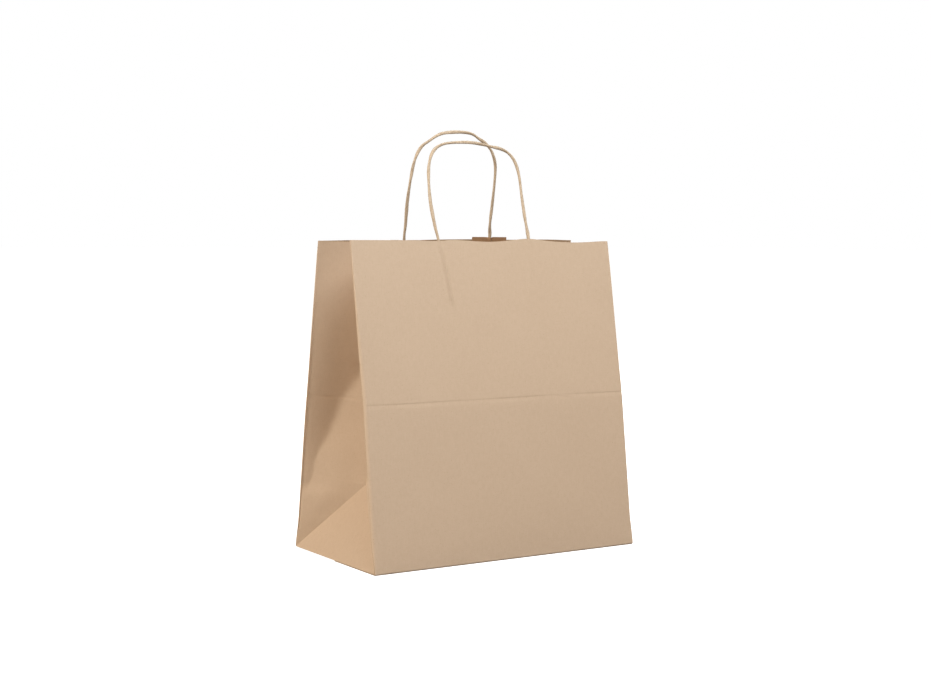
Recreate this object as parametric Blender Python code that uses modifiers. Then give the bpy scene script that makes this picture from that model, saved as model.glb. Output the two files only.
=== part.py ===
"""Paper carrier bag: one creased kraft sheet on a block bottom, with two glued cord handles.

Metres, +Z up. X runs along the wide panels and Y from the front panel (-Y) to the back panel (+Y).
The origin is the middle of the base, on the ground. The mouth is drawn half closed, as the bag
stands by itself: each wide panel leans inwards and the gussets between them fold in to a V.
"""

from math import asin, cos, pi, sin, sqrt

import bpy
from mathutils import Matrix, Vector

# The folded sheet
BAG_WIDTH = 0.280
BAG_DEPTH = 0.150
PANEL_LENGTH = 0.288  # along the panel, from the base to the mouth
MOUTH_DEPTH = 0.060  # between the two panels at the mouth, as the bag stands
PAPER = 0.0004
LAYER_GAP = 0.0003  # between two layers that touch
SEAM_WIDTH = 0.015
SEAM_END_GAP = 0.004
BOTTOM_OVERLAP = 0.024  # the outer flap over the inner one, under the base
SIDE_FLAP_DEPTH = 0.060
FOOT_TIP = 0.0025  # half width left at the top of a gusset's foot
CREASE_GAP = 0.0011  # from a gusset half to its middle crease
DIAGONAL_GAP = 0.0010  # from a gusset half or foot to the diagonal between them

# The handles
CORD_DIAMETER = 0.0034
TAIL_LENGTH = 0.057  # glued below the mouth
TAIL_SLANT = 0.0075  # how far a tail leans to the middle on its way down
TAIL_STAND = 0.0030  # the tail's end above the mouth
BEND_GAP = 0.0010  # left in the cord where it bends at the patch
ROOT_LENGTH = 0.0060
PATCH_WIDTH = 0.039
PATCH_BELOW = 0.062
PATCH_ABOVE = 0.0028
PATCH_SHOULDER = 1.2  # where a patch lies flat again, in radii of the raised middle
CORD_STEP = 0.0085  # between points along a cord
FRONT_TILT = 0.2967  # 17 degrees inwards from upright
BACK_TILT = 0.2094  # 12 degrees

# Steps along the curved sheets
FOOT_STEPS = 8
GUSSET_ACROSS_STEPS = 6
GUSSET_UP_STEPS = 14
CURVE_STEPS = 12  # between two points of a handle's line

# A handle's line in its own plane: across the bag, and up from where the cord bends.
FRONT_ROUTE = [
    (-0.0495, 0.000), (-0.0508, 0.011), (-0.0515, 0.033), (-0.0497, 0.054), (-0.0465, 0.069),
    (-0.0400, 0.081), (-0.0285, 0.088), (-0.0100, 0.0905), (0.0060, 0.0905), (0.0210, 0.0882),
    (0.0365, 0.0850), (0.0450, 0.079), (0.0490, 0.070), (0.0502, 0.058), (0.0493, 0.038),
    (0.0489, 0.018), (0.0491, 0.000),
]
BACK_ROUTE = [
    (-0.0520, 0.000), (-0.0520, 0.010), (-0.0528, 0.032), (-0.0518, 0.055), (-0.0497, 0.071),
    (-0.0450, 0.082), (-0.0370, 0.0885), (-0.0250, 0.0955), (-0.0080, 0.0978), (0.0070, 0.0970),
    (0.0170, 0.0925), (0.0260, 0.0875), (0.0335, 0.080), (0.0385, 0.069), (0.0402, 0.055),
    (0.0408, 0.033), (0.0410, 0.012), (0.0425, 0.000),
]

LEAN = asin((BAG_DEPTH - MOUTH_DEPTH) / 2 / PANEL_LENGTH)  # of a wide panel from upright
LAYER = PAPER + LAYER_GAP
PANEL_FOOT = LAYER  # height of a wide panel's lower edge, on the outer flap
SIDE_FOOT = 3 * LAYER  # height of a gusset's lower edge, on the side flaps
FOLD_INSET = 2 * LAYER  # from a panel's middle to a gusset's fold, clear of the seam
FOLD_X = BAG_WIDTH / 2 - LAYER
GUSSET_HALF = BAG_DEPTH / 2 - FOLD_INSET
TAIL_OFFSET = PAPER / 2 + LAYER_GAP + CORD_DIAMETER / 2  # from a panel's middle to a tail's
BEND_HEIGHT = PANEL_LENGTH + TAIL_STAND + BEND_GAP / 2

SIDES = {"front": -1, "back": 1}
ENDS = {"left": -1, "right": 1}


def clear_scene():
    for item in list(bpy.data.objects):
        bpy.data.objects.remove(item, do_unlink=True)


def make_collection(name):
    collection = bpy.data.collections.new(name)
    bpy.context.scene.collection.children.link(collection)
    return collection


def make_material(name, colour, roughness):
    material = bpy.data.materials.new(name)
    material.use_nodes = True
    shader = material.node_tree.nodes["Principled BSDF"]
    shader.inputs["Base Color"].default_value = (*colour, 1)
    shader.inputs["Roughness"].default_value = roughness
    shader.inputs["Metallic"].default_value = 0
    return material


def place(item, parent, material):
    item.data.materials.append(material)
    BAG.objects.link(item)
    item.parent = parent
    return item


def add_empty(name, matrix, parent=None):
    empty = bpy.data.objects.new(name, None)
    BAG.objects.link(empty)
    empty.matrix_world = matrix
    if parent:
        empty.parent = parent
        empty.matrix_parent_inverse = parent.matrix_world.inverted()
    return empty


def add_plate(name, outline, middle_height, parent, material, upright=False):
    """A flat piece of paper: a closed outline, filled and given the paper's thickness."""
    curve = bpy.data.curves.new(name, "CURVE")
    curve.dimensions = "2D"
    curve.fill_mode = "BOTH"
    curve.extrude = PAPER / 2
    spline = curve.splines.new("POLY")
    spline.points.add(len(outline) - 1)
    for point, (across, along) in zip(spline.points, outline):
        point.co = (across, along, 0, 1)
    spline.use_cyclic_u = True
    plate = place(bpy.data.objects.new(name, curve), parent, material)
    if upright:
        plate.rotation_euler.x = pi / 2
        plate.location.y = middle_height
    else:
        plate.location.z = middle_height
    return plate


def add_tube(name, points, parent, material):
    curve = bpy.data.curves.new(name, "CURVE")
    curve.dimensions = "3D"
    curve.bevel_depth = CORD_DIAMETER / 2
    curve.bevel_resolution = 2
    curve.use_fill_caps = True
    spline = curve.splines.new("POLY")
    spline.points.add(len(points) - 1)
    for point, position in zip(spline.points, points):
        point.co = (*position, 1)
    return place(bpy.data.objects.new(name, curve), parent, material)


def add_sheet(name, rows, parent, material):
    """A curved piece of paper lofted through rows of points, with Solidify for its thickness."""
    points = [point for row in rows for point in row]
    width = len(rows[0])
    faces = [
        (i * width + j, i * width + j + 1, (i + 1) * width + j + 1, (i + 1) * width + j)
        for i in range(len(rows) - 1)
        for j in range(width - 1)
    ]
    mesh = bpy.data.meshes.new(name)
    mesh.from_pydata(points, [], faces)
    sheet = place(bpy.data.objects.new(name, mesh), parent, material)
    wall = sheet.modifiers.new("paper", "SOLIDIFY")
    wall.thickness = PAPER
    wall.offset = 0
    wall.use_even_offset = True
    return sheet


def catmull_rom(a, b, c, d, t):
    """The point at share t between b and c, on the curve through a, b, c and d."""
    straight = 2 * b + (c - a) * t
    square = (2 * a - 5 * b + 4 * c - d) * t**2
    cube = (3 * b - a - 3 * c + d) * t**3
    return (straight + square + cube) / 2


def smooth_route(points, step):
    """Points a step apart along a Catmull-Rom curve through the given ones."""
    points = [Vector(p) for p in points]
    padded = [2 * points[0] - points[1], *points, 2 * points[-1] - points[-2]]
    fine = []
    for a, b, c, d in zip(padded, padded[1:], padded[2:], padded[3:]):
        fine += [catmull_rom(a, b, c, d, k / CURVE_STEPS) for k in range(CURVE_STEPS)]
    fine.append(points[-1])
    lengths = [0.0]
    for a, b in zip(fine, fine[1:]):
        lengths.append(lengths[-1] + (b - a).length)
    count = max(2, round(lengths[-1] / step))
    found = []
    k = 0
    for i in range(count + 1):
        wanted = lengths[-1] * i / count
        while k < len(fine) - 2 and lengths[k + 1] < wanted:
            k += 1
        share = (wanted - lengths[k]) / (lengths[k + 1] - lengths[k])
        found.append(fine[k].lerp(fine[k + 1], share))
    return found


def point_at(below, above, height):
    """The point at a height on the straight line between two points of a route."""
    below, above = Vector(below), Vector(above)
    return below.lerp(above, (height - below.y) / (above.y - below.y))


def cut_route(points, low):
    """The stretch of a handle's line above a height, with its ends exactly at it."""
    kept = [i for i, p in enumerate(points) if p[1] > low]
    first, last = kept[0], kept[-1]
    start = point_at(points[first - 1], points[first], low)
    end = point_at(points[last + 1], points[last], low)
    return [start, *[Vector(p) for p in points[first : last + 1]], end]


def gusset_point(side, end, across, up):
    """A point of a gusset: across its half from the fold to the middle crease, and up the panel."""
    span = GUSSET_HALF - up * sin(LEAN)
    depth = sqrt(max(GUSSET_HALF**2 - span**2, 0))
    share = across / GUSSET_HALF
    return Vector((end * (FOLD_X - depth * share), side * span * (1 - share), SIDE_FOOT + up * cos(LEAN)))


def add_bottom(parent):
    half_width, half_depth = BAG_WIDTH / 2, BAG_DEPTH / 2
    for name, layer in (("front", 0), ("back", 1)):
        side = SIDES[name]
        reach = BOTTOM_OVERLAP / 2
        outline = [
            (-half_width, side * half_depth),
            (half_width, side * half_depth),
            (half_width, 0),
            (half_width - reach, -side * reach),
            (-half_width + reach, -side * reach),
            (-half_width, 0),
        ]
        add_plate(f"bottom_flap_{name}", outline, PAPER / 2 + layer * LAYER, parent, KRAFT)
    for name, end in ENDS.items():
        outer = FOLD_X
        long_half = GUSSET_HALF - FOLD_INSET
        short_half = long_half - SIDE_FLAP_DEPTH
        inner = outer - SIDE_FLAP_DEPTH
        outline = [
            (end * outer, -long_half),
            (end * outer, long_half),
            (end * inner, short_half),
            (end * inner, -short_half),
        ]
        add_plate(f"bottom_flap_{name}", outline, PAPER / 2 + 2 * LAYER, parent, KRAFT_INSIDE)


def add_foot(name, end, parent):
    """The standing triangle of a gusset, from the base up to where the V begins."""
    top = GUSSET_HALF - FOOT_TIP
    rows = []
    for i in range(FOOT_STEPS + 1):
        up = top * i / FOOT_STEPS
        corner = gusset_point(1, end, up, up)
        half = max(corner.y - DIAGONAL_GAP, FOOT_TIP / 4)
        rows.append([(corner.x, half * k / 3, corner.z) for k in range(-3, 4)])
    add_sheet(name, rows, parent, KRAFT)


def add_gusset_half(name, side, end, parent):
    """Half of a gusset: from a side fold to the middle crease, and from the diagonal to the mouth."""
    start = gusset_point(side, end, 0, 0)
    rows = []
    for i in range(GUSSET_ACROSS_STEPS + 1):
        across = (GUSSET_HALF - CREASE_GAP) * i / GUSSET_ACROSS_STEPS
        low = across + DIAGONAL_GAP
        step = (PANEL_LENGTH - low) / GUSSET_UP_STEPS
        heights = [low + step * j for j in range(GUSSET_UP_STEPS + 1)]
        rows.append([gusset_point(side, end, across, up) - start for up in heights])
    fold = add_empty(f"{name}_fold", Matrix.Translation(start), parent)
    add_sheet(name, rows, fold, KRAFT)


def add_patch(name, centre, slant, inward, parent):
    """A glued patch: flat at its sides, raised along its middle over the cord's tail."""
    low, high = LAYER, TAIL_OFFSET
    radius = CORD_DIAMETER / 2 + LAYER
    shoulder, half_way = PATCH_SHOULDER * radius, (low + high) / 2
    raised = [(-shoulder, low), (-radius, half_way)]
    raised += [(-radius * cos(pi * k / 8), high + radius * sin(pi * k / 8)) for k in range(9)]
    raised += [(radius, half_way), (shoulder, low)]
    left, right = centre + slant / 2 - PATCH_WIDTH / 2, centre + slant / 2 + PATCH_WIDTH / 2
    rows = []
    for up in (PANEL_LENGTH - PATCH_BELOW, PANEL_LENGTH + PATCH_ABOVE):
        middle = centre + slant * (BEND_HEIGHT - up) / (TAIL_LENGTH + TAIL_STAND)
        profile = [(left, low), *[(middle + x, depth) for x, depth in raised], (right, low)]
        rows.append([(x, inward * depth, up) for x, depth in profile])
    add_sheet(name, rows, parent, KRAFT_INSIDE)


def add_side(name, route, tilt, base):
    """A wide panel with its glued tails and patches, and its handle in two turning stretches."""
    side = SIDES[name]
    inward = -side
    foot = Vector((0, side * BAG_DEPTH / 2, PANEL_FOOT + (LAYER if side > 0 else 0)))
    lean = Matrix.Rotation(side * LEAN, 4, "X")
    hinge = add_empty(f"{name}_hinge", Matrix.Translation(foot) @ lean, base)
    half = BAG_WIDTH / 2
    outline = [(-half, 0), (half, 0), (half, PANEL_LENGTH), (-half, PANEL_LENGTH)]
    add_plate(f"{name}_panel", outline, 0, hinge, KRAFT, upright=True)
    if side > 0:
        seam_inner, seam_outer = FOLD_X - SEAM_WIDTH, FOLD_X
        top = PANEL_LENGTH - SEAM_END_GAP
        seam = [
            (seam_inner, SEAM_END_GAP),
            (seam_outer, SEAM_END_GAP),
            (seam_outer, top),
            (seam_inner, top),
        ]
        add_plate("side_seam_flap", seam, inward * LAYER, hinge, KRAFT_INSIDE, upright=True)
    bend = foot + lean @ Vector((0, inward * TAIL_OFFSET, BEND_HEIGHT))
    plane = Matrix.Translation(bend) @ Matrix.Rotation(side * tilt, 4, "X")
    root = add_empty(f"{name}_cord_bend", plane, hinge)
    swing_shift = Vector((0, side * (CORD_DIAMETER / 2 + LAYER_GAP), ROOT_LENGTH + LAYER_GAP / 2))
    swing = add_empty(f"{name}_handle_swing", plane @ Matrix.Translation(swing_shift), root)
    for end_name, end in ENDS.items():
        low, high = (route[0], route[1]) if end < 0 else (route[-1], route[-2])
        centre = low[0]
        slant = -end * TAIL_SLANT
        tail_top = Vector((centre, inward * TAIL_OFFSET, PANEL_LENGTH + TAIL_STAND))
        tail_run = Vector((slant, 0, -TAIL_LENGTH - TAIL_STAND))
        tail = [tail_top + tail_run * k / 4 for k in range(5)]
        add_tube(f"{name}_cord_tail_{end_name}", tail, hinge, CORD)
        add_patch(f"{name}_patch_{end_name}", centre, slant, inward, hinge)
        stub = [point_at(low, high, height) for height in (BEND_GAP / 2, ROOT_LENGTH)]
        add_tube(f"{name}_cord_root_{end_name}", [(p.x, 0, p.y) for p in stub], root, CORD)
    bow = smooth_route(cut_route(route, ROOT_LENGTH + LAYER_GAP), CORD_STEP)
    points = [Vector((p.x, 0, p.y)) - swing_shift for p in bow]
    add_tube(f"{name}_handle_bow", points, swing, CORD)
    return hinge


clear_scene()
BAG = make_collection("paper_carrier_bag")
KRAFT = make_material("kraft_paper", (0.61, 0.45, 0.31), 0.75)
KRAFT_INSIDE = make_material("kraft_paper_inside", (0.33, 0.20, 0.11), 0.8)
CORD = make_material("paper_cord", (0.50, 0.36, 0.23), 0.7)

base = add_empty("base", Matrix.Identity(4))
add_bottom(base)
for end_name, end_sign in ENDS.items():
    add_foot(f"{end_name}_gusset_foot", end_sign, base)
hinges = {
    "front": add_side("front", FRONT_ROUTE, FRONT_TILT, base),
    "back": add_side("back", BACK_ROUTE, BACK_TILT, base),
}
for side_name, side_sign in SIDES.items():
    for end_name, end_sign in ENDS.items():
        add_gusset_half(f"{end_name}_gusset_{side_name}", side_sign, end_sign, hinges[side_name])
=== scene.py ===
import bpy
import numpy as np
from math import atan2, cos, pi, radians, sin, sqrt
from mathutils import Matrix, Vector


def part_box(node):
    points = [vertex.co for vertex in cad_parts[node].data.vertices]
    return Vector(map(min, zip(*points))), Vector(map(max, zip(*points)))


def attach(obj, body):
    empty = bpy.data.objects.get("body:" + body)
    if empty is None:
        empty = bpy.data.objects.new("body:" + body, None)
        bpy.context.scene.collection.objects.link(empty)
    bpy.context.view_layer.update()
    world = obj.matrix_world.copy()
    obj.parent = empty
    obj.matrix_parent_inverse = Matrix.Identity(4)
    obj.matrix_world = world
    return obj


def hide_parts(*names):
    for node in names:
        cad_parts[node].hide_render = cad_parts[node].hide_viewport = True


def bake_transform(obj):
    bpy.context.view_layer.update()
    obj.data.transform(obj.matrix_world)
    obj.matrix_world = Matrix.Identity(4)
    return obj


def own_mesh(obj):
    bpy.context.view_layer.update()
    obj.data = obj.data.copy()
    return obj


# Kraft paper gift bag: a creased paper shell, glued patches and two twisted paper cords.
# Everything is in metres. The front panel faces -Y and the left gusset -X.

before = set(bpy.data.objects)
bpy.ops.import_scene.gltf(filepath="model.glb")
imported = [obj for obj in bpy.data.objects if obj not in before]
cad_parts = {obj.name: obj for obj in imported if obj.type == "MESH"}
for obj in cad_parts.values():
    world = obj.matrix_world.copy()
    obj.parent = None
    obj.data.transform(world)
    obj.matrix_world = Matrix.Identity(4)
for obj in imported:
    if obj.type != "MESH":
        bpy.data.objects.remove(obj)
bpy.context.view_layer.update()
bpy.context.scene.view_settings.view_transform = "Standard"
print("frame loaded")


def clearSelection():
    for item in bpy.context.selected_objects:
        item.select_set(False)


def makeActive(item):
    clearSelection()
    item.select_set(True)
    bpy.context.view_layer.objects.active = item


def applyModifiers(item):
    makeActive(item)
    for modifier in list(item.modifiers):
        bpy.ops.object.modifier_apply(modifier=modifier.name)


def smoothStep(low, high, value):
    share = np.clip((value - low) / (high - low), 0, 1)
    return share * share * (3 - 2 * share)


def hump(centre, width, value):  # a smooth bump of height 1
    return np.exp(-((value - centre) / width) ** 2)


def ripple(x, y, seed, scale):  # smooth uneven waves, the same on every run
    total = np.zeros(np.broadcast(x, y).shape)
    rng = np.random.default_rng(seed)
    for k in range(7):
        angle = rng.uniform(0, 2 * pi)
        turns = rng.uniform(0.5, 1.6) * 2 * pi / scale
        phase = rng.uniform(0, 2 * pi)
        strength = rng.uniform(0.4, 1)
        total += np.sin((x * cos(angle) + y * sin(angle)) * turns + phase) * strength
    return total / 4


def spacedAt(length, step, features):  # even steps, with closer ones round each feature
    found = list(np.linspace(0, length, max(2, round(length / step)) + 1))
    for place, offsets in features:
        found += [place + o for o in offsets] + [place - o for o in offsets]
    found = sorted(round(p, 6) for p in found if 0 <= p <= length)
    kept = [found[0]]
    for p in found[1:]:
        if p - kept[-1] > 0.00025:  # no two steps closer than this
            kept.append(p)
    kept[-1] = length
    return np.array(kept)


camera = {
    "target": (-0.0017, 0.0, 0.1837),
    "azimuth": -32.81,  # degrees, looking along +Y at 0
    "elevation": 4.06,
    "roll": 0.37,
    "distance": 1.4884,
    "lens": 62.0,
}
studio = {
    "lookAt": (0, 0, 0.15),
    "floorSize": 60.0,
    "floorTone": 0.50,
    "floorGlow": 0.95,  # keeps the floor white where the key doesn't reach; it lights nothing else
    "roomTone": (0.290, 0.204, 0.118),
    "keyPlace": (0.00, -0.84, 1.28),
    "keySize": 0.8,
    "keyPower": 18.5,
    "keyTone": (0.98, 1.045, 1.085),
    "fillPlace": (-1.62, 0.62, 0.95),
    "fillSize": 0.7,
    "fillPower": 24.0,
    "fillTone": (1.01, 0.94, 0.83),
    "backPlace": (1.30, 1.55, 1.30),
    "backSize": 1.2,
    "backPower": 20.0,
    "backTone": (1, 1, 1),
}


def addCamera():
    turn, rise, roll = (radians(camera[k]) for k in ("azimuth", "elevation", "roll"))
    forward = Vector((-sin(turn) * cos(rise), cos(turn) * cos(rise), -sin(rise)))
    right = forward.cross(Vector((0, 0, 1))).normalized()
    up = right.cross(forward)
    right, up = right * cos(roll) + up * sin(roll), up * cos(roll) - right * sin(roll)
    data = bpy.data.cameras.new("camera")
    data.lens = camera["lens"]
    data.sensor_width = 36.0
    data.clip_end = 50
    item = bpy.data.objects.new("camera", data)
    bpy.context.scene.collection.objects.link(item)
    turned = Matrix((right, up, -forward)).transposed().to_4x4()
    place = Vector(camera["target"]) - forward * camera["distance"]
    item.matrix_world = Matrix.Translation(place) @ turned
    bpy.context.scene.camera = item


def addAreaLight(label):
    data = bpy.data.lights.new(f"{label}Light", "AREA")
    data.shape = "DISK"
    data.size = studio[f"{label}Size"]
    data.energy = studio[f"{label}Power"]
    data.color = studio[f"{label}Tone"]
    item = bpy.data.objects.new(f"{label}Light", data)
    bpy.context.scene.collection.objects.link(item)
    place = Vector(studio[f"{label}Place"])
    item.location = place
    item.rotation_euler = (Vector(studio["lookAt"]) - place).to_track_quat("-Z", "Y").to_euler()


def addFloor():
    clearSelection()
    bpy.ops.mesh.primitive_plane_add(size=studio["floorSize"], location=(0, 0, 0))
    floor = bpy.context.object
    floor.name = "floor"
    floor.data.transform(floor.matrix_world)
    floor.matrix_world = Matrix.Identity(4)
    material = bpy.data.materials.new("paleFloor")
    material.use_nodes = True
    tree = material.node_tree
    shader = tree.nodes["Principled BSDF"]
    shader.inputs["Base Color"].default_value = (*[studio["floorTone"]] * 3, 1)
    shader.inputs["Roughness"].default_value = 0.9
    shader.inputs["Specular IOR Level"].default_value = 0.0
    shader.inputs["Emission Color"].default_value = (1, 1, 1, 1)
    rays = tree.nodes.new("ShaderNodeLightPath")
    glow = tree.nodes.new("ShaderNodeMath")
    glow.operation = "MULTIPLY"
    glow.inputs[1].default_value = studio["floorGlow"]
    tree.links.new(rays.outputs["Is Camera Ray"], glow.inputs[0])
    tree.links.new(glow.outputs[0], shader.inputs["Emission Strength"])
    floor.data.materials.append(material)


def addWorld():  # the room is white behind the bag and dimmer and warmer where it only lights it
    world = bpy.data.worlds.new("paleRoom")
    world.use_nodes = True
    tree = world.node_tree
    back = tree.nodes["Background"]
    rays = tree.nodes.new("ShaderNodeLightPath")
    seen = tree.nodes.new("ShaderNodeMix")
    seen.data_type = "RGBA"
    seen.inputs[6].default_value = (*studio["roomTone"], 1)
    seen.inputs[7].default_value = (1, 1, 1, 1)
    tree.links.new(rays.outputs["Is Camera Ray"], seen.inputs[0])
    tree.links.new(seen.outputs[2], back.inputs["Color"])
    bpy.context.scene.world = world


addCamera()
addWorld()
for label in ("key", "fill", "back"):
    addAreaLight(label)
addFloor()
print("camera, light and floor made")


def newGroup(name, ins, outs):
    group = bpy.data.node_groups.new(name, "ShaderNodeTree")
    for label, kind, value in ins:
        socket = group.interface.new_socket(name=label, in_out="INPUT", socket_type=kind)
        if value is not None:
            socket.default_value = value
    for label, kind in outs:
        group.interface.new_socket(name=label, in_out="OUTPUT", socket_type=kind)
    return group, group.nodes.new("NodeGroupInput"), group.nodes.new("NodeGroupOutput")


def plugIn(tree, socket, value):  # a number, a colour or another node's output
    if isinstance(value, (int, float)):
        socket.default_value = value
    elif isinstance(value, tuple):
        socket.default_value = (*value, 1)
    else:
        tree.links.new(value, socket)


def mathNode(tree, operation, *values):
    node = tree.nodes.new("ShaderNodeMath")
    node.operation = operation
    for socket, value in zip(node.inputs, values):
        plugIn(tree, socket, value)
    return node.outputs[0]


def noiseNode(tree, vector, scale, detail, roughness=0.55, stretch=None):
    if stretch:
        mapping = tree.nodes.new("ShaderNodeMapping")
        mapping.inputs["Scale"].default_value = stretch
        tree.links.new(vector, mapping.inputs["Vector"])
        vector = mapping.outputs["Vector"]
    noise = tree.nodes.new("ShaderNodeTexNoise")
    noise.inputs["Scale"].default_value = scale
    noise.inputs["Detail"].default_value = detail
    noise.inputs["Roughness"].default_value = roughness
    tree.links.new(vector, noise.inputs["Vector"])
    return noise.outputs["Fac"]


def rangeNode(tree, value, low, high, toLow=0.0, toHigh=1.0):
    node = tree.nodes.new("ShaderNodeMapRange")
    node.interpolation_type = "SMOOTHSTEP"
    node.inputs["From Min"].default_value = low
    node.inputs["From Max"].default_value = high
    node.inputs["To Min"].default_value = toLow
    node.inputs["To Max"].default_value = toHigh
    tree.links.new(value, node.inputs["Value"])
    return node.outputs["Result"]


def mixColour(tree, mode, amount, first, second):
    node = tree.nodes.new("ShaderNodeMix")
    node.data_type = "RGBA"
    node.blend_type = mode
    for place, value in ((0, amount), (6, first), (7, second)):
        plugIn(tree, node.inputs[place], value)
    return node.outputs[2]


def kraftFibreGroup():  # cloudy pulp, fibres both ways and dark specks: a tone round 0.5 and a height
    group, ins, outs = newGroup(
        "kraftFibre",
        [
            ("Vector", "NodeSocketVector", None),
            ("Fibre", "NodeSocketFloat", 1.0),
            ("Specks", "NodeSocketFloat", 1.0),
        ],
        [("Tone", "NodeSocketFloat"), ("Specks", "NodeSocketFloat"), ("Height", "NodeSocketFloat")],
    )
    vector = ins.outputs["Vector"]
    cloud = noiseNode(group, vector, 14.0, 2.0)
    pulp = noiseNode(group, vector, 190.0, 4.0, 0.6)
    longFibre = noiseNode(group, vector, 900.0, 3.0, 0.6, (1.0, 0.16, 1.0))
    crossFibre = noiseNode(group, vector, 1100.0, 2.0, 0.55, (0.22, 1.0, 1.0))
    speckle = noiseNode(group, vector, 1400.0, 1.0, 0.5, (1.0, 0.5, 1.0))

    longShare = mathNode(group, "MULTIPLY", longFibre, 0.6)
    fibres = mathNode(group, "ADD", longShare, mathNode(group, "MULTIPLY", crossFibre, 0.4))
    fine = mathNode(group, "MULTIPLY", mathNode(group, "SUBTRACT", fibres, 0.5), ins.outputs["Fibre"])
    pulpTone = mathNode(group, "MULTIPLY", mathNode(group, "SUBTRACT", pulp, 0.5), 0.5)
    soft = mathNode(group, "MULTIPLY_ADD", mathNode(group, "SUBTRACT", cloud, 0.5), 0.35, pulpTone)
    tone = mathNode(group, "ADD", mathNode(group, "ADD", fine, soft), 0.5)
    group.links.new(tone, outs.inputs["Tone"])
    specks = mathNode(group, "MULTIPLY", rangeNode(group, speckle, 0.66, 0.74), ins.outputs["Specks"])
    group.links.new(specks, outs.inputs["Specks"])
    height = mathNode(group, "ADD", fibres, mathNode(group, "MULTIPLY", pulp, 0.6))
    group.links.new(height, outs.inputs["Height"])
    return group


kraftFibre = kraftFibreGroup()
paperLooks = {  # calm is how far the fibres' tones are drawn to their mean; the worn-and-shaded tone is a fold's worn tone, and on the cord the painted shade between its strands
    "kraftOuter": {
        "light": (0.612, 0.466, 0.343),
        "dark": (0.485, 0.352, 0.243),
        "wornAndShaded": (0.70, 0.53, 0.385),
        "roughness": 0.62,
        "bump": 0.12,
        "calm": 0.80,
    },
    # the inner faces' darker browns are painted shade: the same paper as outside, darkened because the
    # bag's inside lies in shadow
    "kraftInnerShaded": {
        "light": (0.430, 0.290, 0.180),
        "dark": (0.330, 0.215, 0.125),
        "wornAndShaded": (0.45, 0.31, 0.20),
        "roughness": 0.68,
        "bump": 0.12,
        "calm": 0.80,
    },
    # the patches' dark brown is painted shade: they sit inside the bag, in its shadow
    "kraftPatchShaded": {
        "light": (0.430, 0.245, 0.128),
        "dark": (0.310, 0.170, 0.085),
        "wornAndShaded": (0.45, 0.30, 0.18),
        "roughness": 0.70,
        "bump": 0.20,
        "calm": 0.70,
    },
    "paperCord": {
        "light": (0.600, 0.475, 0.350),
        "dark": (0.440, 0.330, 0.225),
        "wornAndShaded": (0.33, 0.225, 0.135),  # the shade between the strands
        "roughness": 0.60,
        "bump": 0.30,
        "calm": 0.55,
    },
}
paperSurface = {
    "meanLight": 0.65,  # share of the light tone in the mean
    "speckDepth": 0.35,
    "speckTone": (0.62, 0.52, 0.42),
    "wornAndShadedShare": 0.5,
    "bumpDistance": 0.00012,
    "specular": 0.28,
    "sheen": 0.06,
}


def paperMaterial(name):
    look = paperLooks[name]
    material = bpy.data.materials.new(name)
    material.use_nodes = True
    tree = material.node_tree
    shader = tree.nodes["Principled BSDF"]
    place = tree.nodes.new("ShaderNodeUVMap")
    place.uv_map = "UVMap"
    fibre = tree.nodes.new("ShaderNodeGroup")
    fibre.node_tree = kraftFibre
    tree.links.new(place.outputs["UV"], fibre.inputs["Vector"])
    tone = fibre.outputs["Tone"]

    light = paperSurface["meanLight"]
    mean = tuple((1 - light) * d + light * l for d, l in zip(look["dark"], look["light"]))
    colour = mixColour(tree, "MIX", rangeNode(tree, tone, 0.30, 0.70), look["dark"], look["light"])
    colour = mixColour(tree, "MIX", look["calm"], colour, mean)
    specks = mathNode(tree, "MULTIPLY", fibre.outputs["Specks"], paperSurface["speckDepth"])
    colour = mixColour(tree, "MULTIPLY", specks, colour, paperSurface["speckTone"])
    wearAndShade = tree.nodes.new("ShaderNodeAttribute")  # 1 on creases and folds, where the paper is worn, and in the cords' grooves, where it paints shade; 0 elsewhere
    wearAndShade.attribute_name = "wearAndShade"
    wornAndShaded = mathNode(tree, "MULTIPLY", wearAndShade.outputs["Fac"], rangeNode(tree, tone, 0.25, 0.75, 0.5, 1.0))
    wornAndShadedShare = mathNode(tree, "MULTIPLY", wornAndShaded, paperSurface["wornAndShadedShare"])
    colour = mixColour(tree, "MIX", wornAndShadedShare, colour, look["wornAndShaded"])
    tree.links.new(colour, shader.inputs["Base Color"])

    rough = rangeNode(tree, tone, 0.3, 0.7, look["roughness"] + 0.06, look["roughness"] - 0.04)
    tree.links.new(rough, shader.inputs["Roughness"])
    bump = tree.nodes.new("ShaderNodeBump")
    bump.inputs["Strength"].default_value = look["bump"]
    bump.inputs["Distance"].default_value = paperSurface["bumpDistance"]
    tree.links.new(fibre.outputs["Height"], bump.inputs["Height"])
    tree.links.new(bump.outputs["Normal"], shader.inputs["Normal"])
    shader.inputs["Specular IOR Level"].default_value = paperSurface["specular"]
    shader.inputs["Sheen Weight"].default_value = paperSurface["sheen"]
    return material


kraftOuter, kraftInnerShaded, kraftPatchShaded, paperCord = (paperMaterial(name) for name in paperLooks)
print("materials made")


# The bag's sizes, all read from the frame. side is -1 at the front and 1 at the back,
# end is -1 at the left and 1 at the right; u runs up a wide panel along the paper.
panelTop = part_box("front_panel")[1]
bag = {
    "halfWidth": panelTop.x,
    "halfDepth": -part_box("bottom_flap_front")[0].y,
    "halfMouth": -panelTop.y + 0.0002,
    "foot": {-1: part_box("front_panel")[0].z, 1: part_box("back_panel")[0].z},
    "paper": 0.0003,
}
bag["lean"] = atan2(bag["halfDepth"] - bag["halfMouth"], panelTop.z - bag["foot"][-1])
bag["length"] = (bag["halfDepth"] - bag["halfMouth"]) / sin(bag["lean"])
halfWide = bag["halfWidth"]
sideNames = {-1: "front", 1: "back"}
endNames = {-1: "left", 1: "right"}

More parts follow.
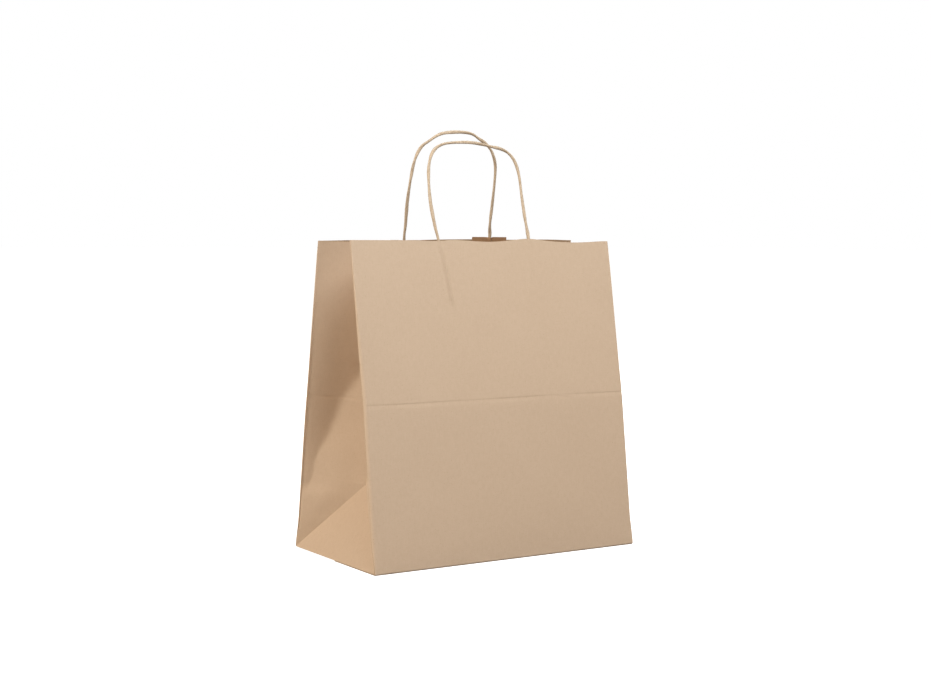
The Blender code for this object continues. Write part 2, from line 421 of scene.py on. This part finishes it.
fold = {
    "topRadius": 0.0010,  # the paper turns tightly at the mouth and rounder lower down
    "midRadius": 0.0036,
    "footRadius": 0.0008,
}
crease = {
    "height": 0.1440,  # the fold left across the bag by flat packing
    "wave": 0.0004,
    "groove": 0.00034,
    "below": 0.0048,  # the dent eases in from below and ends sharply above
    "above": 0.0009,
}
swell = {  # how far the standing paper pushes out: rise, height of the peak, softness of the peak
    -1: (0.0042, crease["height"], 0.035),
    1: (0.0028, 0.125, 0.16),
}
gusset = {
    "flat": 0.075,  # a half gusset's width along the paper
    "apex": 0.070,  # up the folds, where the level crease meets them and the V begins
    "apexHeight": 0.066,
    "apexDepth": 0.0325,
    "depthRise": 0.0530,
    "depthEase": 0.0165,
    "topDrop": 0.0013,
    "edgeDrop": 0.0016,  # the front corners stand above the gusset's cut edge
    "loose": 0.0006,
    "slack": 0.0011,  # the upper paper hangs a little inwards
    "mark": 0.0004,
    "knee": 0.0095,  # height of the second, softer fold between a side fold and the middle crease
    "kneeSoft": 0.10,
    "kneeSlope": 0.36,
    "kneeLean": 0.0014,  # the four halves' second folds differ by this much in height
    "kneePath": (  # where it runs: up the paper, and its share of the way to the middle crease
        (0.052, 0.09),
        (0.066, 0.13),
        (0.080, 0.15),
        (0.092, 0.19),
        (0.105, 0.28),
        (0.142, 0.43),
        (0.165, 0.64),
        (0.215, 1.0),
    ),
}


def panelPlace(side, x, u, out):  # a point of a wide panel, out of its flat plane
    y = side * (bag["halfDepth"] - u * sin(bag["lean"]) + out * cos(bag["lean"]))
    z = bag["foot"][side] + u * cos(bag["lean"]) + out * sin(bag["lean"])
    return np.stack(np.broadcast_arrays(x, y, z), -1)


def foldRadius(u):
    wide = (1 - smoothStep(0.150, bag["length"], u)) * smoothStep(0.0, 0.030, u)
    return fold["topRadius"] + (fold["midRadius"] - fold["topRadius"]) * wide


def softTent(low, high, soft):  # the lower of two slopes, rounded where they meet
    return -np.log(np.exp(-low / soft) + np.exp(-high / soft)) * soft


def panelSwell(side, u):  # two flats meeting at the crease
    rise, peak, soft = swell[side]
    return rise * softTent(u / peak, (bag["length"] - u) / (bag["length"] - peak), soft)


def foldLine(side, end, u):
    return panelPlace(side, end * halfWide + 0 * u, u, panelSwell(side, u) - foldRadius(u))


def middleCrease(end, u):  # the gusset's middle crease above the foot
    share = (u - gusset["apex"]) / (bag["length"] - gusset["apex"])
    depth = gusset["apexDepth"] + gusset["depthRise"] * share - gusset["depthEase"] * share**2
    top = panelTop.z - gusset["topDrop"]
    z = gusset["apexHeight"] + share * (top - gusset["apexHeight"])
    return np.stack(np.broadcast_arrays(end * (halfWide - depth), 0 * u, z), -1)


def footEdge(side, end, u):  # the diagonal crease from the base's corner up to the apex
    corner = foldLine(side, end, np.array(0.0))
    apex = middleCrease(end, np.array(gusset["apex"]))
    share = np.asarray(u / gusset["apex"])[..., None]
    return corner + (apex - corner) * share


def addGrid(name, acrossSteps, upSteps):  # a flat grid, and the column and row of each of its vertices
    clearSelection()
    bpy.ops.mesh.primitive_grid_add(x_subdivisions=acrossSteps, y_subdivisions=upSteps, size=2)
    item = bpy.context.object
    item.name = name
    item.data.name = name
    co = np.empty(len(item.data.vertices) * 3)
    item.data.vertices.foreach_get("co", co)
    share = (co.reshape(-1, 3) + 1) / 2
    return item, np.rint(share[:, 0] * acrossSteps).astype(int), np.rint(share[:, 1] * upSteps).astype(int)


def shapeGrid(mesh, points, uv, wearAndShade):
    mesh.vertices.foreach_set("co", points.astype(np.float32).ravel())
    corner = np.empty(len(mesh.loops), np.int32)
    mesh.loops.foreach_get("vertex_index", corner)
    mesh.uv_layers["UVMap"].data.foreach_set("uv", uv[corner].astype(np.float32).ravel())
    wornAndShaded = np.clip(wearAndShade, 0, 1).astype(np.float32)
    mesh.attributes.new("wearAndShade", "FLOAT", "POINT").data.foreach_set("value", wornAndShaded)
    mesh.update()


def paperSheet(name, across, along, place, outward, material, wearAndShade=None, inner=None):
    item, i, j = addGrid(name, len(across) - 1, len(along) - 1)
    mesh = item.data
    a, b = np.asarray(across)[i], np.asarray(along)[j]
    shapeGrid(mesh, place(a, b), np.stack((a, b), -1), wearAndShade(a, b) if wearAndShade else np.zeros(len(a)))
    mean = sum((p.normal * p.area for p in mesh.polygons), Vector())
    if mean.dot(Vector(outward)) < 0:
        bpy.ops.object.mode_set(mode="EDIT")
        bpy.ops.mesh.select_all(action="SELECT")
        bpy.ops.mesh.flip_normals()
        bpy.ops.object.mode_set(mode="OBJECT")
    wall = item.modifiers.new("paper", "SOLIDIFY")
    wall.thickness = bag["paper"]
    wall.offset = -1
    wall.use_even_offset = True
    mesh.materials.append(material)
    # the inner faces take the darker inner material, whose colour is painted shade
    if inner:
        mesh.materials.append(inner)
        wall.material_offset = 1
    applyModifiers(item)
    bpy.ops.object.shade_smooth_by_angle(angle=radians(42))
    return item


def spreadUv(item, widthAt, shift):  # shares across become metres, on the sheet's own paper
    layer = item.data.uv_layers["UVMap"].data
    flatUv = np.empty(len(layer) * 2, np.float32)
    layer.foreach_get("uv", flatUv)
    flatUv = flatUv.reshape(-1, 2)
    flatUv[:, 0] *= widthAt(flatUv[:, 1])
    layer.foreach_set("uv", (flatUv + np.array(shift, np.float32)).ravel())


def finishPiece(item, nodes, body=None):
    if body:
        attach(item, body)
    else:
        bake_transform(item)
    if nodes:
        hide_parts(*nodes)


# The wide panels. Marks are the creases, dents and pressed-through cord ends that each one carries.
handles = {
    -1: {"legs": {-1: -0.0495, 1: 0.0491}, "emboss": {-1: 0.00155, 1: 0.00026}},
    1: {"legs": {-1: -0.0520, 1: 0.0425}, "emboss": {-1: 0.00025, 1: 0.00030}},
}
tail = {"length": 0.057, "slant": 0.0075, "stand": 0.0030, "inside": 0.0022}
mouthEdge = {  # how the cut edge rises and dips: across, height, width
    -1: (
        (-0.056, -0.0006, 0.012),
        (-0.034, 0.0005, 0.009),
        (0.003, -0.0011, 0.018),
        (0.047, 0.0019, 0.017),
        (0.099, -0.0014, 0.026),
    ),
    1: (
        (-0.085, -0.0013, 0.030),
        (-0.045, -0.0009, 0.022),
        (0.020, 0.0003, 0.020),
        (0.105, 0.0005, 0.030),
    ),
}
cornerDrop = {-1: {-1: 0.0, 1: 0.0}, 1: {-1: 0.0016, 1: 0.0}}
dents = {  # short wrinkles: across, up, run across, run up, width, depth
    -1: (
        (-0.032, 0.0105, 0.0050, -0.0035, 0.0014, 0.00120),
        (0.071, 0.1415, 0.012, -0.0012, 0.0014, 0.00022),
        (-0.092, 0.1468, 0.010, 0.0008, 0.0013, 0.00020),
        (0.118, 0.0220, 0.004, 0.0070, 0.0018, 0.00020),
    ),
    1: (
        (0.055, 0.0200, 0.0080, 0.0030, 0.0014, 0.00035),
        (-0.070, 0.1400, 0.014, 0.0010, 0.0015, 0.00022),
    ),
}
relief = {
    "bow": 0.00049497,  # the middle of a panel stands out by this much
    "wave": 0.00034,
    "waveLength": 0.135,
    "ripple": 0.00012,
    "rippleLength": 0.040,
    "embossWidth": 0.0017,
    "pressedShift": 0.004,  # the paper dips beside the cord
    "pressedWidth": 0.0045,
    "pressedShare": 0.3,
}


def tailCentre(side, end, u):  # a cord tail leans to the middle on its way down
    drop = np.clip((bag["length"] + tail["stand"] - u) / (tail["length"] + tail["stand"]), 0, 1.1)
    return handles[side]["legs"][end] - end * tail["slant"] * drop


def creaseAt(side, x):
    return crease["height"] + crease["wave"] * ripple(x, 0 * x, 11 + side, 0.16)


def creaseRelief(side, x, u):
    line = u - creaseAt(side, x)
    fade = 0.75 + 0.25 * np.cos(x * 61 + side)
    groove = smoothStep(-crease["below"], -0.0004, line) * (1 - smoothStep(-0.0003, crease["above"], line))
    return -crease["groove"] * fade * groove * (1 if side < 0 else 0.7)


def cordRelief(side, end, x, u):  # a glued tail pressed through the panel
    middle = tailCentre(side, end, u)
    run = smoothStep(0.229, 0.236, u) * (1 - 0.35 * smoothStep(0.270, 0.288, u))
    near = hump(middle, relief["embossWidth"], x)
    pressed = hump(middle - end * relief["pressedShift"], relief["pressedWidth"], x)
    return handles[side]["emboss"][end] * run * (near - relief["pressedShare"] * pressed)


def dentRelief(x, u, dent):
    cx, cu, runX, runU, width, depth = dent
    length = sqrt(runX**2 + runU**2)
    alongDent = ((x - cx) * runX + (u - cu) * runU) / length
    offDent = ((u - cu) * runX - (x - cx) * runU) / length
    near = hump(0, length / 2, alongDent)
    return depth * near * (0.5 * hump(width * 1.6, width, offDent) - hump(0, width, offDent))


def panelRelief(side, x, u):
    across = x / halfWide
    calm = (1 - across**4) * smoothStep(0, 0.03, u)
    bowed = smoothStep(0.02, 0.14, u) * (1 - smoothStep(0.20, 0.28, u) * 0.7)
    out = panelSwell(side, u) + relief["bow"] * (1 - across**2) * bowed
    out = out + relief["wave"] * ripple(x, u, 21 + side, relief["waveLength"]) * calm
    out = out + relief["ripple"] * ripple(x, u, 31 + side, relief["rippleLength"]) * calm
    out = out + creaseRelief(side, x, u)
    for end in endNames:
        out = out + cordRelief(side, end, x, u)
    for dent in dents[side]:
        out = out + dentRelief(x, u, dent)
    return out


def roundedBy(radius, past):  # how far a rounded edge falls back, past the start of its curve
    return radius - np.sqrt(np.maximum(radius**2 - past**2, 0))


def panelPoints(side, x, u, inset=0.0):  # inset is how far inside the outer face
    radius = foldRadius(u)
    out = panelRelief(side, x, u) - roundedBy(radius, np.clip(np.abs(x) - (halfWide - radius), 0, radius))
    out = out - roundedBy(fold["footRadius"], np.clip(fold["footRadius"] - u, 0, fold["footRadius"]))
    edge = sum(height * hump(centre, width, x) for centre, height, width in mouthEdge[side])
    edge = edge * (1 - smoothStep(0.120, 0.140, np.abs(x)))
    for end in endNames:
        edge = edge - cornerDrop[side][end] * smoothStep(0.095, 0.138, end * x)
    raised = u + edge * smoothStep(0.225, bag["length"], u)
    return panelPlace(side, x, raised, out - inset)


def panelWear(side, x, u):
    sideFold = hump(halfWide - 0.0006, 0.0022, np.abs(x))
    foot = hump(0, 0.0018, u)
    line = hump(-0.0012, 0.0012, u - creaseAt(side, x))
    return sideFold * 0.35 + foot * 0.4 + line * 0.12


# Rows and columns lie closer at folds, creases and cords. Columns are counted from the left fold.
panelStep = 0.0036
edgeSteps = (0.0004, 0.0009, 0.0015, 0.0022, 0.0030, 0.0040, 0.0055, 0.0078)
footSteps = (0.0002, 0.0004, 0.0006, 0.0008, 0.0014)
cordSteps = (0.0008, 0.0016, 0.0025, 0.0036)
cordColumns = (0.0905, 0.0980, 0.1891, 0.0880, 0.0955, 0.1825)
creaseSteps = tuple(0.00035 * k for k in range(1, 12)) + (0.0050, 0.0066)
columnPlaces = [(0.0, edgeSteps), (2 * halfWide, edgeSteps)] + [(place, cordSteps) for place in cordColumns]
rowPlaces = [
    (0.0, footSteps),
    (crease["height"], creaseSteps),
    (bag["length"], (0.0005, 0.0015)),
    (gusset["apex"], (0.0006, 0.0015)),
]
columns = spacedAt(2 * halfWide, panelStep, columnPlaces) - halfWide
rows = spacedAt(bag["length"], panelStep, rowPlaces)

for side, sideName in sideNames.items():
    panel = paperSheet(
        f"{sideName}Panel",
        columns,
        rows,
        lambda x, u: panelPoints(side, x, u),
        (0, side, 0),
        kraftOuter,
        lambda x, u: panelWear(side, x, u),
        kraftInnerShaded,
    )
    finishPiece(panel, [f"{sideName}_panel"], f"{sideName}_side")
print("wide panels made")


def kneeRelief(side, end, share, u):
    places, shares = zip(*gusset["kneePath"])
    knee = np.interp(u + gusset["kneeLean"] * side * end, places, shares)
    soft = gusset["kneeSoft"] * np.minimum(1, 0.22 + 1.8 * knee)
    tent = softTent(share / knee, (1 - share) / (1.0001 - knee), soft)
    tent = np.maximum(tent + soft * np.log(1 + np.exp(-1 / soft)), 0)
    strength = smoothStep(0.050, 0.064, u) * (1 - smoothStep(0.158, 0.222, u))
    rise = np.minimum(gusset["knee"], gusset["kneeSlope"] * knee * gusset["flat"])
    return rise * strength * tent


def gussetRelief(side, end, share, u):
    held = np.sin(pi * np.clip(share, 0, 1)) ** 0.7
    waves = ripple(share * gusset["flat"], u, 41 + 3 * side + end, 0.060)
    loose = gusset["loose"] * waves * held * smoothStep(0.010, 0.060, u)
    slack = gusset["slack"] * held * smoothStep(0.15, 0.27, u)
    mark = gusset["mark"] * hump(crease["height"], 0.0016, u) * held
    # the paper leaves the rounded fold square to the panel before it heads in
    turn = 0.35 * foldRadius(u) * np.exp(-share / 0.035) * (1 - np.exp(-share / 0.008))
    return kneeRelief(side, end, share, u) + loose + slack + mark + turn


def gussetPoints(side, end, share, u):  # share runs from the side fold to the middle crease
    u = u - gusset["edgeDrop"] * smoothStep(0.262, bag["length"], u)
    start = foldLine(side, end, u)
    upper = middleCrease(end, np.maximum(u, gusset["apex"]))
    lower = footEdge(side, end, np.minimum(u, gusset["apex"]))
    chord = np.where((u < gusset["apex"])[:, None], lower, upper) - start
    flat = np.hypot(chord[:, 0], chord[:, 1]) + 1e-9
    inward = np.stack((-end * np.abs(chord[:, 1]) / flat, side * np.abs(chord[:, 0]) / flat, 0 * u), -1)
    return start + chord * share[:, None] + inward * gussetRelief(side, end, share, u)[:, None]


def gussetWear(share, u):
    middle = hump(1, 0.018, share) * (u > gusset["apex"] - 0.001)
    level = hump(gusset["apex"], 0.0012, u)
    line = hump(crease["height"], 0.0012, u)
    diagonal = hump(1, 0.0013, 1 - (1 - share) * u / gusset["apex"]) * (u < gusset["apex"])
    return 0.3 * middle + 0.2 * level + 0.075 * line + 0.15 * diagonal + 0.2 * hump(0, 0.02, share)


shares = np.concatenate(([0.0, 0.006, 0.014, 0.024], np.linspace(0.038, 0.975, 38), [0.988, 1.0]))
gussetRows = np.concatenate(([0.0012], rows[rows > 0.0019]))
for side, sideName in sideNames.items():
    for end, endName in endNames.items():
        half = paperSheet(
            f"{endName}Gusset{sideName.capitalize()}",
            shares,
            gussetRows,
            lambda share, u: gussetPoints(side, end, share, u),
            (end, -0.6 * side, 0),
            kraftOuter,
            gussetWear,
            kraftInnerShaded,
        )
        spreadUv(
            half,
            lambda u: np.minimum(gusset["flat"], np.maximum(u, 0.001) + 0.002),
            (0.3 * end, 0.2 * side),
        )
        finishPiece(half, [f"{endName}_gusset_{sideName}"])

footShape = {"belly": 0.0012, "loose": 0.0003, "lift": 0.0012, "paperHeight": 0.0752}


def footPoints(end, across, u):
    front, back = footEdge(-1, end, u), footEdge(1, end, u)
    points = front + (back - front) * ((across + 1) / 2)[:, None]
    held = (1 - across**2) * smoothStep(0, 0.02, u) * (1 - smoothStep(0.050, gusset["apex"], u))
    waves = ripple(across * 0.07, u, 71 + end, 0.05)
    points[:, 0] += end * (footShape["belly"] * held + footShape["loose"] * waves * held)
    points[:, 2] = np.maximum(points[:, 2], footShape["lift"])
    return points


def footWear(across, u):
    return 0.3 * hump(0, 0.0014, u) + 0.2 * hump(1, 0.02, np.abs(across))


footRows = np.concatenate(([0.0, 0.0003, 0.0008], np.linspace(0.0018, gusset["apex"] - 0.0004, 34)))
for end, endName in endNames.items():
    foot = paperSheet(
        f"{endName}GussetFoot",
        np.linspace(-1, 1, 41),
        footRows,
        lambda across, u: footPoints(end, across, u),
        (end, 0, 0.3),
        kraftOuter,
        footWear,
        kraftInnerShaded,
    )
    spreadUv(
        foot,
        lambda u: gusset["flat"] * (1 - np.clip(u / footShape["paperHeight"], 0, 1)),
        (0.5 * end, 0.7),
    )
    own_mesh(foot)
    finishPiece(foot, [f"{endName}_gusset_foot"], "base")
print("gussets made")


# The folded bottom: two side flaps inside, then the two long flaps glued over each other.
bottom = {"overlap": 0.012, "layer": 0.0007, "sideDepth": 0.060, "edge": 0.0009, "wave": 0.00010}


def longFlapPlace(side, across, along):  # along runs from the panel's foot to the glued edge
    layer = 0 if side < 0 else 1
    deep = bag["halfDepth"] - bottom["edge"]
    y = along * (deep + bottom["overlap"]) - deep
    wide = halfWide - 0.0004 - np.maximum(y, 0)
    lift = bottom["wave"] * (1 + ripple(across * 0.14, y, 91 + side, 0.05)) * layer
    z = 0 * y + bottom["layer"] * layer + bag["paper"] + lift
    return np.stack((across * wide, side * -y, z), -1)


def sideFlapPlace(end, across, along):
    inner = along * bottom["sideDepth"]
    wide = bag["halfDepth"] - 0.0030 - inner
    waves = ripple(across * 0.07, inner, 95 + end, 0.04)
    z = 2 * bottom["layer"] + bag["paper"] + bottom["wave"] * waves
    return np.stack((end * (halfWide - bottom["edge"] - inner), across * wide, z), -1)


for side, sideName in sideNames.items():
    flap = paperSheet(
        f"{sideName}BottomFlap",
        np.linspace(-1, 1, 60),
        np.linspace(0, 1, 34),
        lambda across, along: longFlapPlace(side, across, along),
        (0, 0, 1),
        kraftOuter,
        lambda across, along: hump(1, 0.02, along) * 0.5,
    )
    finishPiece(flap, [f"bottom_flap_{sideName}"], "base")
for end, endName in endNames.items():
    flap = paperSheet(
        f"{endName}BottomFlap",
        np.linspace(-1, 1, 34),
        np.linspace(0, 1, 22),
        lambda across, along: sideFlapPlace(end, across, along),
        (0, 0, 1),
        kraftOuter,
    )
    finishPiece(flap, [f"bottom_flap_{endName}"], "base")

seam = {"width": 0.015, "endGap": 0.004, "inside": 0.0006, "fromFold": 0.0045, "wave": 0.00008}


def seamPlace(x, u):
    return panelPoints(1, x, u, seam["inside"] + seam["wave"] * ripple(x, u, 99, 0.03))


seamEdge = halfWide - seam["fromFold"]
seamFlap = paperSheet(
    "sideSeamFlap",
    np.linspace(seamEdge - seam["width"], seamEdge, 7),
    spacedAt(bag["length"] - 2 * seam["endGap"], 0.005, []) + seam["endGap"],
    seamPlace,
    (0, 1, 0),
    kraftOuter,
)
finishPiece(seamFlap, ["side_seam_flap"], "back_side")
print("bottom and seam made")


# Patches glued over the cord tails, pressed down round them. above and shift are by side and end.
patch = {
    "width": 0.039,
    "below": 0.062,
    "above": {(-1, -1): -0.0006, (-1, 1): -0.0004, (1, -1): -0.0006, (1, 1): 0.0027},
    "shift": {(-1, -1): 0.001, (-1, 1): -0.001, (1, -1): 0.002, (1, 1): 0.0045},
    "bumpWidth": 0.0026,
    "inside": 0.0006,
    "raised": 0.0037,
    "torn": 0.0006,  # unevenness of the side edges
    "wrinkle": 0.00012,
}


def patchPlace(side, end, across, u):
    x = handles[side]["legs"][end] - end * tail["slant"] / 2 + patch["shift"][side, end] + across
    edge = patch["torn"] * ripple(x, u, 121 + 2 * side + end, 0.02)
    x = x + edge * smoothStep(0.4, 0.5, np.abs(across) / patch["width"])
    overCord = hump(tailCentre(side, end, u), patch["bumpWidth"], x) * smoothStep(0.2255, 0.2330, u)
    wrinkle = patch["wrinkle"] * ripple(x, u, 131 + 2 * side + end, 0.012)
    inset = patch["inside"] + patch["raised"] * overCord + wrinkle
    return panelPlace(side, x, u, panelSwell(side, np.minimum(u, bag["length"])) - inset)


for side, sideName in sideNames.items():
    for end, endName in endNames.items():
        tall = patch["below"] + patch["above"][side, end]
        label = paperSheet(
            f"{sideName}Patch{endName.capitalize()}",
            spacedAt(patch["width"], 0.0012, []) - patch["width"] / 2,
            spacedAt(tall, 0.0018, []) + bag["length"] - patch["below"],
            lambda across, u: patchPlace(side, end, across, u),
            (0, side, 0),
            # the patch material's dark brown is painted shade
            kraftPatchShaded,
        )
        finishPiece(label, [f"{sideName}_patch_{endName}"], f"{sideName}_side")
print("patches made")


# The cords. A handle's line in its own plane: across the bag, and up from where the cord bends.
cord = {
    "wide": 0.00155,
    "thin": 0.00118,
    "turn": 0.061,  # along the cord, for one turn of its flattened section
    "lay": 0.0115,  # along the cord, for one turn of its strands
    "groove": 0.09,
    "ring": 0.0007,
    "sides": 22,
    "turnWander": (0.9, 71),  # size, and turns along the cord
    "swells": ((0.05, 143, 1), (0.04, 389, 0)),  # size, turns along the cord, start
    "strands": (  # share of the depth, width, start, wander's size and turns
        (1.0, 0.30, 0.0, 0.5, 211),
        (0.6, 0.22, 2.3 - pi, 0.6, 157),
    ),
}
routes = {
    -1: {
        "tilt": 0.2967,
        "points": (
            (-0.0495, 0.000), (-0.0508, 0.011), (-0.0515, 0.033), (-0.0497, 0.054), (-0.0465, 0.069),
            (-0.0400, 0.081), (-0.0285, 0.088), (-0.0100, 0.0905), (0.0060, 0.0905), (0.0210, 0.0882),
            (0.0365, 0.0850), (0.0450, 0.079), (0.0490, 0.070), (0.0502, 0.058), (0.0493, 0.038),
            (0.0489, 0.018), (0.0491, 0.000),
        ),
    },
    1: {
        "tilt": 0.2094,
        "points": (
            (-0.0520, 0.000), (-0.0520, 0.010), (-0.0528, 0.032), (-0.0518, 0.055), (-0.0497, 0.071),
            (-0.0450, 0.082), (-0.0370, 0.0885), (-0.0250, 0.0955), (-0.0080, 0.0978), (0.0070, 0.0970),
            (0.0170, 0.0925), (0.0260, 0.0875), (0.0335, 0.080), (0.0385, 0.069), (0.0402, 0.055),
            (0.0408, 0.033), (0.0410, 0.012), (0.0425, 0.000),
        ),
    },
}
cordBend = {"rise": 0.0005, "root": 0.0063, "swingLength": 0.016, "tailBelow": 0.0020, "tailAbove": 0.0030}


def smoothLine(points, step):  # a Catmull-Rom curve through the points, at even steps
    points = np.asarray(points, float)
    padded = np.vstack((2 * points[0] - points[1], points, 2 * points[-1] - points[-2]))
    t = np.linspace(0, 1, 24, endpoint=False)[:, None]
    parts = []
    for a, b, c, d in zip(padded, padded[1:], padded[2:], padded[3:]):
        square, cube = 2 * a - 5 * b + 4 * c - d, 3 * b - a - 3 * c + d
        parts.append(0.5 * (2 * b + (c - a) * t + square * t**2 + cube * t**3))
    fine = np.vstack(parts + [points[-1:]])
    lengths = np.concatenate(([0], np.cumsum(np.linalg.norm(np.diff(fine, axis=0), axis=1))))
    even = np.linspace(0, lengths[-1], round(lengths[-1] / step) + 1)
    return np.stack([np.interp(even, lengths, fine[:, k]) for k in range(3)], -1), even


def cordLine(side):  # the whole cord: up one tail, round the bow and down the other tail
    top = bag["length"] + tail["stand"]
    base = panelPlace(side, 0, top + cordBend["rise"], -tail["inside"])
    tilt = routes[side]["tilt"]
    up = np.array((0, -side * sin(tilt), cos(tilt)))
    bow = [base + np.array((x, 0, 0)) + up * h for x, h in routes[side]["points"][1:-1]]
    legs = {}
    for end in endNames:
        legs[end] = []
        for u in np.linspace(bag["length"] - tail["length"], top, 6):
            out = panelSwell(side, min(u, bag["length"])) - tail["inside"]
            legs[end].append(panelPlace(side, tailCentre(side, end, u), u, out))
    return np.vstack((legs[-1], bow, legs[1][::-1])), base, up


def strandCut(angle, s, width, start, size, turns):  # the groove beside one strand
    phase = angle - 2 * pi * s / cord["lay"] + start + size * np.sin(s * turns)
    return hump(0, width, np.mod(phase + pi, 2 * pi) - pi)


def cordTube(name, line, even, normal, material):
    tangent = np.gradient(line, axis=0)
    tangent /= np.linalg.norm(tangent, axis=1)[:, None]
    first = np.cross(tangent, normal)
    first /= np.linalg.norm(first, axis=1)[:, None]
    second = np.cross(tangent, first)
    sides = cord["sides"]
    item, column, j = addGrid(name, sides, len(line) - 1)
    angle = 2 * pi * (column % sides) / sides
    s = even[j]

    wander, turns = cord["turnWander"]
    flatTurn = angle - 2 * pi * s / cord["turn"] + wander * np.sin(s * turns)
    wide = cord["wide"] * (1 + sum(size * np.sin(s * k + start) for size, k, start in cord["swells"]))
    thin = cord["thin"]
    radius = wide * thin / np.sqrt((thin * np.cos(flatTurn)) ** 2 + (wide * np.sin(flatTurn)) ** 2)
    cut = sum(share * strandCut(angle, s, *strand) for share, *strand in cord["strands"])
    radius = radius * (1 - cord["groove"] * cut)
    points = line[j] + first[j] * (radius * np.cos(angle))[:, None]
    points += second[j] * (radius * np.sin(angle))[:, None]
    # the groove mask also feeds the crease-wear attribute, which on the cord paints shade between the
    # strands
    shapeGrid(item.data, points, np.stack((column / sides * 2 * pi * cord["wide"], s), -1), cut)

    bpy.ops.object.mode_set(mode="EDIT")
    bpy.ops.mesh.select_all(action="SELECT")
    bpy.ops.mesh.remove_doubles(threshold=0.00001)
    bpy.ops.mesh.select_all(action="SELECT")
    bpy.ops.mesh.fill_holes(sides=0)
    bpy.ops.mesh.select_all(action="SELECT")
    bpy.ops.mesh.normals_make_consistent(inside=False)
    bpy.ops.object.mode_set(mode="OBJECT")
    item.data.materials.append(material)
    bpy.ops.object.shade_smooth_by_angle(angle=radians(50))
    return item


for side, sideName in sideNames.items():
    points, base, up = cordLine(side)
    line, even = smoothLine(points, cord["ring"])
    normal = np.cross((1, 0, 0), up)
    above = (line - base) @ up
    first = int(np.argmax(above > cordBend["root"]))
    last = len(line) - int(np.argmax(above[::-1] > cordBend["root"]))
    bow = cordTube(f"{sideName}HandleBow", line[first:last], even[first:last], normal, paperCord)
    finishPiece(bow, [f"{sideName}_handle_bow"])
    for end, endName in endNames.items():
        part = slice(0, first + 1) if end < 0 else slice(last - 1, len(line))
        tailName = f"{sideName}CordTail{endName.capitalize()}"
        item = cordTube(tailName, line[part], even[part], normal, paperCord)
        nodes = [f"{sideName}_cord_tail_{endName}", f"{sideName}_cord_root_{endName}"]
        finishPiece(item, nodes)
print("cords made")
